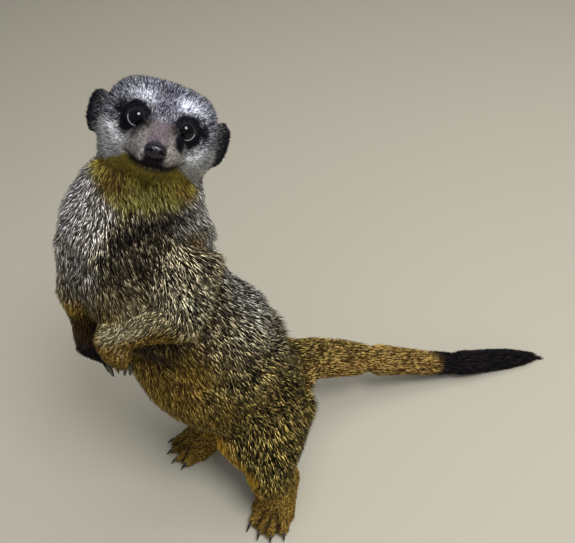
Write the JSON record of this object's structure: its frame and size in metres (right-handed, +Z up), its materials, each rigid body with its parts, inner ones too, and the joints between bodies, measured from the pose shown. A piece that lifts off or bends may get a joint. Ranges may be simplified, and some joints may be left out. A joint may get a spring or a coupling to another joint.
{
  "type": "meerkat",
  "caption": "Life-size meerkat standing upright on its hind feet, forepaws hanging, head turned and looking up, tail laid on the floor behind as a prop.",
  "frame": {"origin": "middle of the bounding box's floor side, on the floor", "axes": "+Z up, the trunk faces -Y, the animal's left is +X, the tail runs towards +Y"},
  "size_m": [0.1584, 0.2792, 0.283],
  "materials": {
    "coat": "grizzled fur",
    "eye": "wet gloss",
    "nose": "moist, finely pebbled",
    "claw": "horn, half gloss"
  },
  "bodies": {
    "root": {"head": "coat", "neck": "coat", "chest": "coat", "belly": "coat", "tail_base": "coat", "tail_middle": "coat", "tail_tip": "coat", "ear_left": "coat", "ear_right": "coat", "upper_arm_left": "coat", "upper_arm_right": "coat", "forearm_left": "coat", "forearm_right": "coat", "hand_left": "coat", "hand_right": "coat", "thigh_left": "coat", "thigh_right": "coat", "shank_left": "coat", "shank_right": "coat", "foot_left": "coat", "foot_right": "coat", "nose": "nose", "eye_left": "eye", "eye_right": "eye", "claw_hand_left_1": "claw", "claw_hand_left_2": "claw", "claw_hand_left_3": "claw", "claw_hand_left_4": "claw", "claw_hand_right_1": "claw", "claw_hand_right_2": "claw", "claw_hand_right_3": "claw", "claw_hand_right_4": "claw", "claw_foot_left_1": "claw", "claw_foot_left_2": "claw", "claw_foot_left_3": "claw", "claw_foot_left_4": "claw", "claw_foot_right_1": "claw", "claw_foot_right_2": "claw", "claw_foot_right_3": "claw", "claw_foot_right_4": "claw"}
  },
  "joints": []
}
